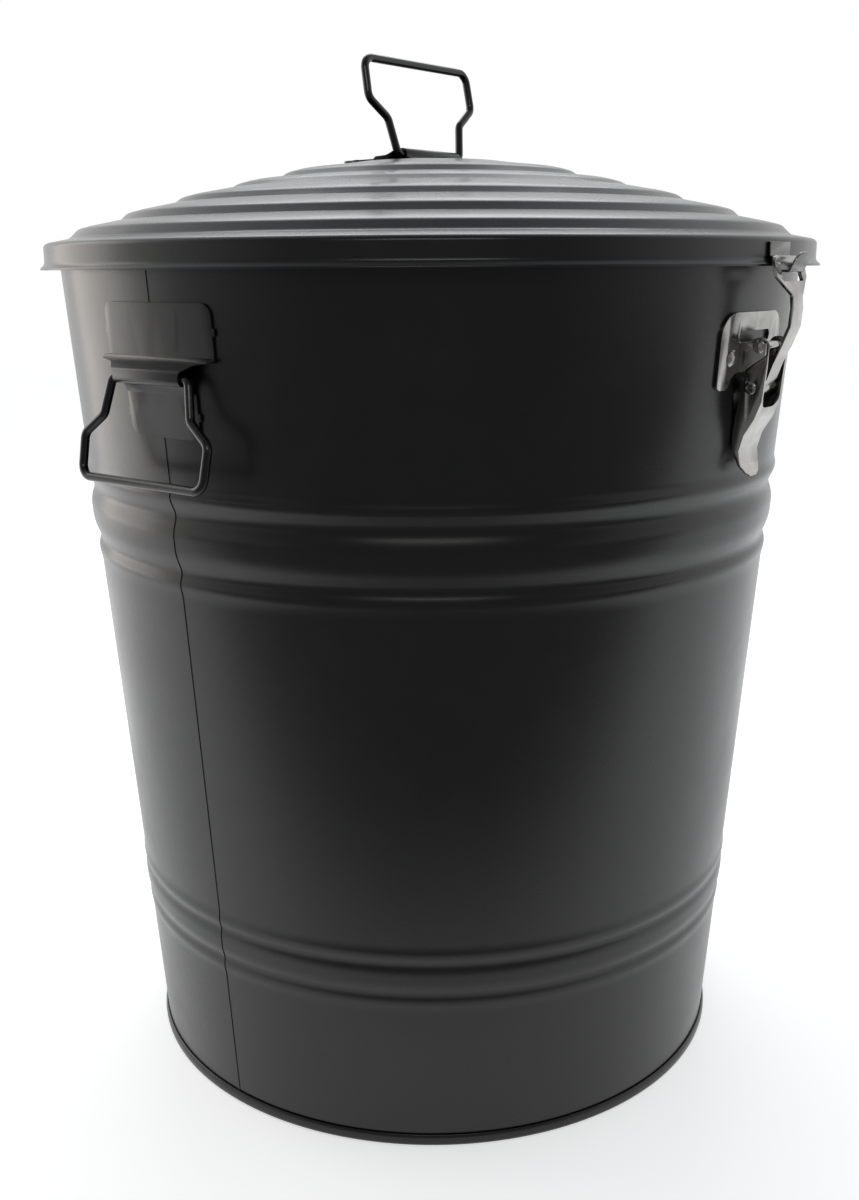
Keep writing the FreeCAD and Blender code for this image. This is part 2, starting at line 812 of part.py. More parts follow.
def make_rivet(name, yaw, side):
    """Domed rivet square to the tapered wall."""
    body = new_body(name)
    shank, head = S.rivet_shank / 2, S.rivet_head / 2
    face = S.plate_gap + S.latch_sheet + 0.02
    dome = [
        (ZERO, dim(0.15)),
        (shank, dim(0.15)),
        (shank, face),
        (head, face),
        (head, face + S.rivet_rise * 0.25),
        (head * 0.55, face + S.rivet_rise * 0.88),
        (ZERO, face + S.rivet_rise),
    ]
    sketch = outline(new_sketch(body, "profile", "XZ_Plane"), dome)
    revolve(body, sketch)
    height = pivot_up - S.rivet_below
    reach = wall_radius(height)
    swing = math.degrees(S.rivet_spacing.value / 2 / reach.value) * side
    slope = math.degrees(math.atan(taper.value))
    turned = Rotation(Vector(0, 0, 1), yaw + swing)
    out = turned.multVec(Vector(reach.value, 0, 0))
    square_to_wall = turned * Rotation(Vector(0, 1, 0), 90 + slope)
    body.Placement = Placement(Vector(out.x, out.y, height.value), square_to_wall)
    return body


def make_latch_rivets(name, yaw):
    pair = doc.addObject("Part::Compound", name)
    pair.Label = name
    pair.Links = [make_rivet(f"{name}_{tag}", yaw, side) for tag, side in (("near", -1), ("far", 1))]
    return pair


def make_lever_pin(name, yaw):
    """Pin through both ears with a low domed head at each end."""
    body = new_body(name)
    half = S.ear_gap / 2 + S.ear_sheet + 0.02
    shank, head, rise = S.pivot_pin / 2, S.pivot_head / 2, S.pivot_head_rise
    half_line = [(shank, half), (head, half), (head * 0.85, half + rise * 0.6), (head * 0.4, half + rise)]
    points = [(ZERO, half + rise)] + half_line[::-1]
    points += [(x, -y) for x, y in half_line] + [(ZERO, -(half + rise))]
    sketch = outline(new_sketch(body, "profile", "XY_Plane", (pivot_out, ZERO, pivot_up)), points)
    revolve(body, sketch)
    turn_to(body, yaw)
    return body


def beside_pivot(points, down=-1):
    """Points given from the lever pivot as (out, down) pairs, or (out, up) with down=1, on the side view."""
    return [(pivot_out + out, pivot_up + rise * down) for out, rise in points]


def make_lever(name, yaw):
    """Channel lever: two cheeks, a web in front that starts under the claw slot, and a curled tongue."""
    body = new_body(name)
    nose = S.lever_nose
    front = beside_pivot(lever_front)
    back = beside_pivot(lever_back)
    thick = S.lever_sheet
    tip = front[-1]
    points = [(pivot_out + nose * 1.06, pivot_up + nose)] + front[1:]
    points += [(tip[0] - thick * 0.8, tip[1] - thick * 0.5)] + back[:0:-1]
    points += [(pivot_out - nose * 1.06, pivot_up + nose)]
    last = len(points) - 1
    sketch = outline(new_sketch(body, "side", "XZ_Plane"), points, {0: nose, last: nose})
    pad(body, sketch, S.lever_width)
    behind = pivot_out - 25.0
    hollow = [(x - thick, z) for x, z in front[1:-1]]
    hollow = [(hollow[0][0], pivot_up + nose * 2)] + hollow
    hollow += [
        (tip[0] - thick, tip[1] - thick * 1.5),
        (behind, tip[1] - thick * 1.5),
        (behind, pivot_up + nose * 2),
    ]
    sketch = outline(new_sketch(body, "hollow", "XZ_Plane"), hollow)
    pocket(body, sketch, S.lever_width - thick * 2)
    half = S.lever_width / 2 - thick
    slot_low = pivot_up - S.lever_slot_drop
    slot = [(half, slot_low), (half, pivot_up + nose * 2), (-half, pivot_up + nose * 2), (-half, slot_low)]
    sketch = new_sketch(body, "slot", "YZ_Plane")
    pocket(body, outline(sketch, slot, {0: S.lever_slot_round, 3: S.lever_slot_round}))
    for tag, centre, radius in (
        ("pivot", (pivot_out, pivot_up), S.pivot_pin / 2),
        ("claw", (claw_pin_out, claw_pin_up), S.claw_pin / 2),
    ):
        sketch = circle(new_sketch(body, f"{tag}_hole", "XZ_Plane"), centre, radius + S.pin_clearance)
        pocket(body, sketch)
    for tag, side in (("near", -1), ("far", 1)):
        edge, low = (S.lever_width / 2 + 1.0) * side, tip[1] - 3.0
        corners = [
            (S.lever_width / 2 * side, tip[1] + S.lever_tip_round),
            (S.lever_width * 0.46 * side, tip[1] + S.lever_tip_round * 0.55),
            (S.lever_width * 0.34 * side, tip[1] + S.lever_tip_round * 0.2),
            (S.lever_width * 0.16 * side, tip[1]),
            (S.lever_width * 0.12 * side, low),
            (edge, low),
            (edge, tip[1] + S.lever_tip_round),
        ]
        pocket(body, outline(new_sketch(body, f"tip_{tag}", "YZ_Plane"), corners))
    turn_to(body, yaw)
    return body


def make_claw_pin(name, yaw):
    """Tubular pin through both cheeks, flared at each end."""
    body = new_body(name)
    half = S.lever_width / 2 + 0.02
    bore, shank, flange = S.claw_pin_bore / 2, S.claw_pin / 2, S.claw_pin_flange / 2
    rise = S.claw_pin_flange_rise
    half_line = [(bore, half + rise), (flange * 0.85, half + rise), (flange, half), (shank, half)]
    points = half_line + [(x, -y) for x, y in reversed(half_line)]
    sketch = outline(new_sketch(body, "profile", "XY_Plane", (claw_pin_out, ZERO, claw_pin_up)), points)
    revolve(body, sketch)
    turn_to(body, yaw)
    return body


def strip_sides(line, half):
    """Both sides of a bent strip, from the middle line's points and half the thickness."""
    flat = [Vector(x.value, z.value, 0) for x, z in line]
    left, right = [], []
    for i, (x, z) in enumerate(line):
        runs = []
        if i > 0:
            runs.append((flat[i] - flat[i - 1]).normalize())
        if i < len(line) - 1:
            runs.append((flat[i + 1] - flat[i]).normalize())
        along = (runs[0] + runs[-1]).normalize()
        stretch = 1.0 / along.dot(runs[0])
        across = Vector(-along.y, along.x, 0) * stretch
        left.append((x + half * across.x, z + half * across.y))
        right.append((x - half * across.x, z - half * across.y))
    return left, right


def make_claw(name, yaw):
    """Bent claw: an eye round its pin, a narrow arm and a wide head with a window for the catch."""
    body = new_body(name)
    line = [(claw_pin_out + S.claw_pin * 0.55, claw_pin_up)] + beside_pivot(claw_arm, 1)
    line += [(claw_head_out, claw_bar_low), (claw_head_out, claw_bar_low + S.claw_bar)]
    left, right = strip_sides(line, S.claw_sheet / 2)
    sketch = outline(new_sketch(body, "side", "XZ_Plane"), right + left[::-1])
    pad(body, sketch, S.claw_head)
    shoulder_top = pivot_up + 24.2 + S.claw_shoulder_height
    low = claw_pin_up - 8.0
    for tag, side in (("near", -1), ("far", 1)):
        arm, wide = S.claw_arm / 2 * side, S.claw_head / 2 * side
        past = wide + 2.0 * side
        corners = [
            (arm, low),
            (arm, shoulder_top - S.claw_shoulder_height),
            (wide, shoulder_top),
            (past, shoulder_top),
            (past, low),
        ]
        sketch = new_sketch(body, f"waist_{tag}", "YZ_Plane")
        pocket(body, outline(sketch, corners, {1: dim(2)}))
    half = S.claw_window_width / 2
    window = [
        (half, claw_bar_low - S.claw_window_height),
        (half, claw_bar_low),
        (-half, claw_bar_low),
        (-half, claw_bar_low - S.claw_window_height),
    ]
    sketch = new_sketch(body, "window", "YZ_Plane")
    pocket(body, outline(sketch, window, {n: dim(1) for n in range(4)}))
    eye = new_sketch(body, "eye", "XZ_Plane")
    circle(eye, (claw_pin_out, claw_pin_up), S.claw_pin / 2 + S.claw_eye_wall)
    pad(body, eye, S.claw_arm)
    bore = new_sketch(body, "bore", "XZ_Plane")
    pocket(body, circle(bore, (claw_pin_out, claw_pin_up), S.claw_pin / 2 + S.pin_clearance))

    def is_head_corner(edge):
        high = claw_bar_low.value + S.claw_bar.value
        return edge.Length < 1.2 * S.claw_sheet.value and edge.BoundBox.Center.z > high - 0.5

    fillet(body, S.claw_head_corner, is_head_corner)
    turn_to(body, yaw)
    return body


def make_catch(name, yaw):
    """Catch strap on the lid's skirt: over the lip, under it, and out to a leaf-shaped tab."""
    body = new_body(name)
    thick = S.catch_sheet
    skirt = lid_radius + S.plate_gap
    lip = lid_height + S.lid_lip_height
    tab_out, tab_up = catch_face + S.catch_crook + S.catch_tab_run, catch_floor + S.catch_tab_rise
    points = [
        (skirt, lid_height + S.catch_top),
        (skirt, lip + thick * 1.3),
        (catch_face - thick, lip + 0.1),
        (catch_face - thick, catch_floor - thick),
        (catch_face + S.catch_crook + thick * 0.4, catch_floor - thick),
        (tab_out + thick, tab_up - thick * 0.4),
        (tab_out, tab_up),
        (catch_face + S.catch_crook, catch_floor),
        (catch_face, catch_floor),
        (catch_face, lip + thick * 0.6),
        (skirt + thick, lip + thick * 1.8),
        (skirt + thick, lid_height + S.catch_top),
    ]
    bends = {3: thick, 4: thick * 1.6, 7: thick * 0.6}
    sketch = outline(new_sketch(body, "side", "XZ_Plane"), points, bends)
    pad(body, sketch, S.catch_width)
    for tag, side in (("near", -1), ("far", 1)):
        tab, wide = S.catch_tab / 2 * side, (S.catch_width / 2 + 1.0) * side
        start = catch_face + 0.6
        corners = [(start, tab), (tab_out + thick * 4, tab), (tab_out + thick * 4, wide), (start, wide)]
        sketch = new_sketch(body, f"tab_{tag}", "XY_Plane")
        pocket(body, outline(sketch, corners))

    def is_tab_corner(edge):
        centre = edge.BoundBox.Center
        at_tip = centre.z > tab_up.value - 1.0 and centre.x > tab_out.value - 1.0
        return at_tip and edge.Length < 1.4 * thick.value

    fillet(body, S.catch_tab_round, is_tab_corner)
    turn_to(body, yaw)
    return body


# ---------------------------------------------------------------- build, check and write


def on_crown(height):
    """The flat of the lid's crown, seen from the lid handle's own frame."""
    return ZERO


def move_to(body, base, turn):
    """Turn a body and put its origin at a bound point."""
    body.Placement = Placement(Vector(*[size.value for size in base]), turn)
    for axis, size in zip("xyz", base):
        body.setExpression(f"Placement.Base.{axis}", size.text)


FRONT, REAR = -90, 90
LEFT, RIGHT = 180, 0
about_z, about_y = Vector(0, 0, 1), Vector(0, 1, 0)
made = [make_can_wall(), make_base_pan(), make_lid_shell()]

hinge_up = S.wall_height - S.handle_drop
hinge_out = wall_radius(hinge_up) + S.sleeve_rise
for side, yaw in (("left", LEFT), ("right", RIGHT)):
    plate = make_strap_plate(f"{side}_handle_plate", wall_radius, hinge_out, hinge_up, curved=True)
    turn_to(plate, yaw)
    bail = make_bail(f"{side}_bail")
    lean = Rotation(about_y, -S.bail_lean.value)
    reach = hinge_out if side == "right" else -hinge_out
    move_to(bail, (reach, ZERO, hinge_up), Rotation(about_z, yaw) * lean)
    made += [plate, bail]

# on the lid the strap plate lies flat: its outward direction is up and its upper sheet points to the rear
crown = lid_height + S.lid_crown
flat_on_lid = Rotation(Vector(1, 1, 1), -120)
plate = make_strap_plate("lid_handle_plate", on_crown, S.lid_sleeve_rise, ZERO, curved=False)
move_to(plate, (ZERO, ZERO, crown), flat_on_lid)
bail = make_bail("lid_bail")
upright = Rotation(about_y, -90 - S.lid_bail_lean.value)
move_to(bail, (ZERO, ZERO, crown + S.lid_sleeve_rise), flat_on_lid * upright)
made += [plate, bail]

for side, yaw in (("front", FRONT), ("rear", REAR)):
    made.append(make_latch_base(f"{side}_latch_base", yaw))
    made.append(make_latch_rivets(f"{side}_latch_rivets", yaw))
    made.append(make_lever_pin(f"{side}_lever_pin", yaw))
    made.append(make_lever(f"{side}_lever", yaw))
    made.append(make_claw_pin(f"{side}_claw_pin", yaw))
    made.append(make_claw(f"{side}_claw", yaw))
    made.append(make_catch(f"{side}_catch", yaw))
doc.recompute()

for item in doc.Objects:
    if "Invalid" in item.State or "Error" in item.State:
        raise RuntimeError(f"{item.Name} did not build: {item.State}")
os.makedirs("parts", exist_ok=True)
for piece in made:
    if piece.Shape.isNull() or not piece.Shape.isValid():
        raise RuntimeError(f"{piece.Label} has no valid shape")
    piece.Shape.exportStep(f"parts/{piece.Label}.step")
    print(f"{piece.Label}: {len(piece.Shape.Solids)} solid, {piece.Shape.Volume / 1000:.2f} cm3")
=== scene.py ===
# The looks of a black powder-coated steel bin with a stepped lid, wire bails and plated toggle latches.
# Lengths in the classes are millimetres, as the object is drawn. They become metres where a mesh is made.

import json
import logging
import math
from dataclasses import dataclass, field
from enum import Enum
from typing import Any, Sequence

import bpy
from mathutils import Matrix, Vector

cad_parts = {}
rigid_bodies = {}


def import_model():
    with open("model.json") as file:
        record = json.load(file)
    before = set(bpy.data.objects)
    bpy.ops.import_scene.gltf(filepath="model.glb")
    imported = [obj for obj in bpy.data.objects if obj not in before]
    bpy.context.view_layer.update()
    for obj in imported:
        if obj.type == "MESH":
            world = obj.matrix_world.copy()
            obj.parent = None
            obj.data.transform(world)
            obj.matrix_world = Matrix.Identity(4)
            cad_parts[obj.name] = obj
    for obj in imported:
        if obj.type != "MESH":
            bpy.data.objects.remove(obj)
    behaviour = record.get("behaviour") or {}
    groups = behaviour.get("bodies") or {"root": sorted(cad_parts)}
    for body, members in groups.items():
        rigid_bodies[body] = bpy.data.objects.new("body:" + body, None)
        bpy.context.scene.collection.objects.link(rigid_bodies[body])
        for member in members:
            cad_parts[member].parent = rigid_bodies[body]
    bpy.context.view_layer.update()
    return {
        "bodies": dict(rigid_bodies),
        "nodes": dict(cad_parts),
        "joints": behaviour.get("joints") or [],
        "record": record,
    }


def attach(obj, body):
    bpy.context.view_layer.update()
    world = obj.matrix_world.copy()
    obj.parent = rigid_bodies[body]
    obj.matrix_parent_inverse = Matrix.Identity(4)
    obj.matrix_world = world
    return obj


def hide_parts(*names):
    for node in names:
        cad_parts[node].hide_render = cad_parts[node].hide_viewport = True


LOG = logging.getLogger("steel_bin")
MM = 0.001
Point = tuple[float, float]
Band = tuple[float, float]
Place = tuple[float, float, float]
Colour = tuple[float, float, float, float]

# Metres within which doubled points become one: where an outline closes, in a new piece, in a node's copy.
OUTLINE_MERGE = 1e-7
PIECE_MERGE = 1e-6
COPY_MERGE = 2e-6
# In a node's copy, faces within the first angle are joined and edges over the second are broken, in degrees.
FLAT_ANGLE = 0.8
EDGE_ANGLE = 38.0
# Segments across a broken edge, and those round half of a wire, less two.
EDGE_SEGMENTS = 2
WIRE_SEGMENTS = 6


# ---------------------------------------------------------------- modelling


def deselect_all() -> None:
    """Leave object mode and deselect every object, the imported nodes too."""
    if bpy.context.object is not None and bpy.context.object.mode != "OBJECT":
        bpy.ops.object.mode_set(mode="OBJECT")
    bpy.ops.object.select_all(action="DESELECT")


def take(piece: bpy.types.Object) -> None:
    """Select one object alone and make it active.

    Args:
        piece: The object that the next operators work on.
    """
    deselect_all()
    piece.select_set(True)
    bpy.context.view_layer.objects.active = piece


def name_active(name: str) -> bpy.types.Object:
    """Name the active object and its data.

    Args:
        name: The piece's name.

    Returns:
        The active object.
    """
    piece = bpy.context.object
    piece.name = name
    piece.data.name = name
    return piece


def settle(piece: bpy.types.Object, smooth_angle: float) -> bpy.types.Object:
    """Put the piece's place into its mesh, merge doubles, turn faces outwards and smooth the shallow edges.

    Args:
        piece: A mesh object.
        smooth_angle: Edges flatter than this many degrees are shaded smooth.

    Returns:
        The same object.
    """
    take(piece)
    bpy.ops.object.transform_apply(location=True, rotation=True, scale=True)
    bpy.ops.object.mode_set(mode="EDIT")
    bpy.ops.mesh.select_all(action="SELECT")
    bpy.ops.mesh.remove_doubles(threshold=PIECE_MERGE)
    bpy.ops.mesh.normals_make_consistent(inside=False)
    bpy.ops.object.mode_set(mode="OBJECT")
    bpy.ops.object.shade_smooth_by_angle(angle=math.radians(smooth_angle))
    return piece


def apply_modifier(piece: bpy.types.Object, kind: str, **settings: Any) -> None:
    """Add one modifier to a piece and apply it.

    Args:
        piece: A mesh object.
        kind: The modifier's type.
        settings: The modifier's own settings.
    """
    take(piece)
    modifier = piece.modifiers.new(kind.title(), kind)
    for key, value in settings.items():
        setattr(modifier, key, value)
    bpy.ops.object.modifier_apply(modifier=modifier.name)


def rounded(points: Sequence[Point], radius: float, steps: int, closed: bool = False) -> list[Point]:
    """Soften the corners of a line of points by curves.

    Args:
        points: Corners in order.
        radius: Largest distance cut from each side of a corner, in the points' own unit.
        steps: Points along each softened corner, less one.
        closed: Whether the last point joins the first.

    Returns:
        The line with its corners softened.
    """
    run_share = 0.48  # of the run on each side, so that two corners of one run don't meet
    out: list[Point] = []
    count = len(points)
    for index, here in enumerate(points):
        if not closed and index in (0, count - 1):
            out.append(here)
            continue
        centre = Vector(here)
        before = Vector(points[index - 1]) - centre
        after = Vector(points[(index + 1) % count]) - centre
        cut = min(radius, before.length * run_share, after.length * run_share)
        start, end = centre + before.normalized() * cut, centre + after.normalized() * cut
        for step in range(steps + 1):
            share = step / steps
            spot = start * (1 - share) ** 2 + centre * (2 * share * (1 - share)) + end * share**2
            out.append((spot.x, spot.y))
    return out


def spin_outline(
    name: str, outline: Sequence[Point], steps: int, closed: bool = True, turn: float = math.tau
) -> bpy.types.Object:
    """Draw an outline in the XZ plane by extruding a single vertex, then spin it round the Z axis.

    Args:
        name: The piece's name.
        outline: (radius, height) pairs in millimetres.
        steps: Segments in the turn.
        closed: Whether the outline's end joins its start.
        turn: How far it turns, in radians.

    Returns:
        The turned piece.
    """
    deselect_all()
    first = outline[0]
    stops = [*outline, first] if closed else list(outline)
    bpy.ops.mesh.primitive_plane_add(size=MM, location=(0, 0, 0))
    piece = name_active(name)
    bpy.ops.object.mode_set(mode="EDIT")
    bpy.ops.mesh.select_all(action="SELECT")
    bpy.ops.mesh.merge(type="CENTER")
    bpy.ops.transform.translate(value=(first[0] * MM, 0, first[1] * MM))
    for (r0, z0), (r1, z1) in zip(stops, stops[1:]):
        step = ((r1 - r0) * MM, 0, (z1 - z0) * MM)
        bpy.ops.mesh.extrude_region_move(TRANSFORM_OT_translate={"value": step})
    bpy.ops.mesh.select_all(action="SELECT")
    bpy.ops.mesh.remove_doubles(threshold=OUTLINE_MERGE)
    bpy.ops.mesh.spin(steps=steps, angle=turn, center=(0, 0, 0), axis=(0, 0, 1))
    bpy.ops.object.mode_set(mode="OBJECT")
    return piece


def bent_wire(name: str, path: Sequence[Point], wire: float, place: Matrix) -> bpy.types.Object:
    """A round wire along a path in the YZ plane, with full rounds, then put in its place.

    Args:
        name: The piece's name.
        path: (y, z) pairs in millimetres.
        wire: The wire's diameter in millimetres.
        place: Where the path's frame goes, in metres.

    Returns:
        The wire as a mesh at its place.
    """
    deselect_all()
    bpy.ops.curve.primitive_nurbs_path_add(radius=MM, location=(0, 0, 0))
    piece = name_active(name)
    piece.data.splines.clear()
    spline = piece.data.splines.new("POLY")
    spline.points.add(len(path) - 1)
    for point, (y, z) in zip(spline.points, path):
        point.co = (0, y * MM, z * MM, 1)
    piece.data.dimensions = "3D"
    piece.data.bevel_depth = wire / 2 * MM
    piece.data.bevel_resolution = WIRE_SEGMENTS
    piece.data.use_fill_caps = True
    take(piece)
    bpy.ops.object.convert(target="MESH")
    piece = bpy.context.object
    piece.matrix_world = place
    return settle(piece, smooth_angle=50.0)


def arc_corners(points: Sequence[Point], radii: Sequence[float], steps: int = 10) -> list[Point]:
    """Replace inner corners by true arcs.

    Args:
        points: Corners in order, the ends included.
        radii: One radius for each inner corner.
        steps: Segments along each arc.

    Returns:
        The line with its arcs.
    """
    out = [tuple(points[0])]
    for before, here, after, radius in zip(points, points[1:], points[2:], radii):
        corner = Vector(here)
        back, ahead = (Vector(before) - corner).normalized(), (Vector(after) - corner).normalized()
        half = back.angle(ahead) / 2
        start, end = corner + back * radius / math.tan(half), corner + ahead * radius / math.tan(half)
        centre = corner + (back + ahead).normalized() * radius / math.sin(half)
        for step in range(steps + 1):
            share = step / steps
            spoke = (start - centre).slerp(end - centre, share).normalized()
            out.append(tuple(centre + spoke * radius))
    out.append(tuple(points[-1]))
    return out


def refined_copy(frame: dict, node: str, edge: float, smooth_angle: float = 28.0) -> bpy.types.Object:
    """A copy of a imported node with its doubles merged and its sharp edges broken.

    Args:
        node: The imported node's name.
        edge: Width of the broken edge in millimetres.
        smooth_angle: Edges flatter than this many degrees are shaded smooth.

    Returns:
        The new piece, which stands for the node.
    """
    piece = bpy.data.objects.new(f"{node}_skin", frame["nodes"][node].data.copy())
    bpy.context.scene.collection.objects.link(piece)
    take(piece)
    bpy.ops.object.mode_set(mode="EDIT")
    bpy.ops.mesh.select_all(action="SELECT")
    bpy.ops.mesh.remove_doubles(threshold=COPY_MERGE)
    bpy.ops.mesh.dissolve_limited(angle_limit=math.radians(FLAT_ANGLE))
    bpy.ops.object.mode_set(mode="OBJECT")
    apply_modifier(
        piece,
        "BEVEL",
        width=edge * MM,
        segments=EDGE_SEGMENTS,
        limit_method="ANGLE",
        angle_limit=math.radians(EDGE_ANGLE),
    )
    take(piece)
    bpy.ops.object.shade_smooth_by_angle(angle=math.radians(smooth_angle))
    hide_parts(node)
    return piece


# ---------------------------------------------------------------- shading


class Socket:
    """A shader socket on which Python's operators add Math nodes."""

    def __init__(self, graph: "NodeGraph", end: bpy.types.NodeSocket | None) -> None:
        """Keep the socket and the graph that it belongs to."""
        self.graph = graph
        self.end = end

    def _maths(self, operation: str, first: Any, second: Any) -> "Socket":
        """One Math node on two numbers or sockets."""
        return self.graph.node("ShaderNodeMath", {"operation": operation}, {0: first, 1: second})

    def __add__(self, other: Any) -> "Socket":
        """The sum."""
        return self._maths("ADD", self, other)

    def __radd__(self, other: Any) -> "Socket":
        """The sum, with the number first."""
        return self._maths("ADD", other, self)

    def __mul__(self, other: Any) -> "Socket":
        """The product."""
        return self._maths("MULTIPLY", self, other)

    def __rmul__(self, other: Any) -> "Socket":
        """The product, with the number first."""
        return self._maths("MULTIPLY", other, self)


class NodeGraph:
    """A node tree with one method that makes every node."""

    def __init__(self, tree: bpy.types.NodeTree) -> None:
        """Start with an empty tree."""
        self.tree = tree
        tree.nodes.clear()

    def node(
        self, kind: str, settings: dict | None = None, inputs: dict | None = None, output: int | str = 0
    ) -> Socket:
        """Add a node, set it, then link or set its sockets.

        Args:
            kind: The node's type.
            settings: Its own settings.
            inputs: Values or sockets, by the input's name or index.
            output: Name or index of the output that is returned.

        Returns:
            The wanted output, or an empty socket where the node has none.
        """
        made = self.tree.nodes.new(kind)
        for key, value in (settings or {}).items():
            setattr(made, key, value)
        for key, value in (inputs or {}).items():
            if isinstance(value, Socket):
                self.tree.links.new(value.end, made.inputs[key])
            else:
                made.inputs[key].default_value = value
        return Socket(self, made.outputs[output] if len(made.outputs) else None)

    def noise(self, where: Socket, scale: float, detail: float = 2.0, rough: float = 0.5) -> Socket:
        """A soft noise from 0 to 1.

        Args:
            where: Coordinates in metres.
            scale: Spots per metre.
            detail: Octaves.
            rough: How strong the finer octaves are.

        Returns:
            The noise.
        """
        inputs = {"Vector": where, "Scale": scale, "Detail": detail, "Roughness": rough}
        return self.node("ShaderNodeTexNoise", {}, inputs)

    def spread(self, value: Socket, band: Band, start: float = 0.0, end: float = 1.0) -> Socket:
        """Map one range of numbers onto another, clamped.

        Args:
            value: The socket to map.
            band: Start and end of its range.
            start: What the band's start becomes.
            end: What the band's end becomes.

        Returns:
            The mapped socket.
        """
        inputs = {0: value, 1: band[0], 2: band[1], 3: start, 4: end}
        return self.node("ShaderNodeMapRange", {"clamp": True}, inputs)

    def mix(self, share: Any, first: Any, second: Any) -> Socket:
        """Mix two colours.

        Args:
            share: How much of the second.
            first: A colour or socket.
            second: A colour or socket.

        Returns:
            The mixed colour.
        """
        return self.node("ShaderNodeMix", {"data_type": "RGBA"}, {0: share, 6: first, 7: second}, 2)

    def along(self, where: Socket, direction: Vector) -> Socket:
        """How far a place lies along a direction.

        Args:
            where: Coordinates.
            direction: A unit vector.

        Returns:
            The distance.
        """
        inputs = {0: where, 1: direction}
        return self.node("ShaderNodeVectorMath", {"operation": "DOT_PRODUCT"}, inputs, "Value")


def new_material(name: str) -> tuple[bpy.types.Material, NodeGraph]:
    """An empty material.

    Args:
        name: The material's name.

    Returns:
        The material and its graph.
    """
    material = bpy.data.materials.new(name)
    material.use_nodes = True
    return material, NodeGraph(material.node_tree)


def grey(level: float, warm: float = 0.0) -> Colour:
    """A grey, a little warmer or cooler.

    Args:
        level: Linear brightness.
        warm: Share added to red and taken from blue.

    Returns:
        The colour.
    """
    return (level * (1 + warm), level, level * (1 - warm), 1.0)


@dataclass(frozen=True)
class PowderCoat:
    """Baked black powder coat on steel: fine orange peel, dust and faint handling marks.

    Scales are spots per metre, and a band is the part of a noise that shows.
    """

    name: str
    base: float = 0.003
    dusty: float = 0.007
    roughness: float = 0.28
    peel: float = 0.05
    peel_depth: float = 0.0006
    cloud_scale: float = 9.0
    smear_scale: float = 55.0
    speck_scale: float = 900.0
    peel_scale: float = 700.0
    ripple_scale: float = 160.0
    ripple_share: float = 0.6
    speck_band: Band = (0.62, 0.8)
    smear_band: Band = (0.45, 0.75)
    patch_band: Band = (0.4, 0.7)
    cloud_band: Band = (0.3, 0.7)
    mark_share: float = 0.6
    least_mark: float = 0.2
    speck_share: float = 0.25
    speck_tone: float = 2.2
    cloud_rough: float = 0.05
    mark_rough: float = 0.07

    def build(self) -> bpy.types.Material:
        """The finish as a material.

        Returns:
            The material.
        """
        material, graph = new_material(self.name)
        where = graph.node("ShaderNodeTexCoord", output="Object")
        clouds = graph.noise(where, self.cloud_scale, 4.0, 0.6)
        smears = graph.noise(where, self.smear_scale, 5.0, 0.7)
        dust = graph.spread(graph.noise(where, self.speck_scale), self.speck_band)
        patches = graph.spread(clouds, self.patch_band, self.least_mark)
        marks = graph.spread(smears, self.smear_band, 0.0, self.mark_share) * patches
        shade = graph.mix(marks, grey(self.base, 0.02), grey(self.dusty, 0.05))
        shade = graph.mix(dust * self.speck_share, shade, grey(self.dusty * self.speck_tone, 0.06))
        smooth, dull = self.roughness - self.cloud_rough, self.roughness + self.cloud_rough
        rough = graph.spread(clouds, self.cloud_band, smooth, dull) + marks * self.mark_rough
        ripple = graph.noise(where, self.ripple_scale, 1.0)
        height = graph.noise(where, self.peel_scale, 3.0, 0.55) + ripple * self.ripple_share
        relief = {"Strength": self.peel, "Distance": self.peel_depth, "Height": height}
        bump = graph.node("ShaderNodeBump", {}, relief)
        coat = {"Base Color": shade, "Roughness": rough, "Normal": bump}
        shader = graph.node("ShaderNodeBsdfPrincipled", {}, coat)
        graph.node("ShaderNodeOutputMaterial", {}, {"Surface": shader})
        return material


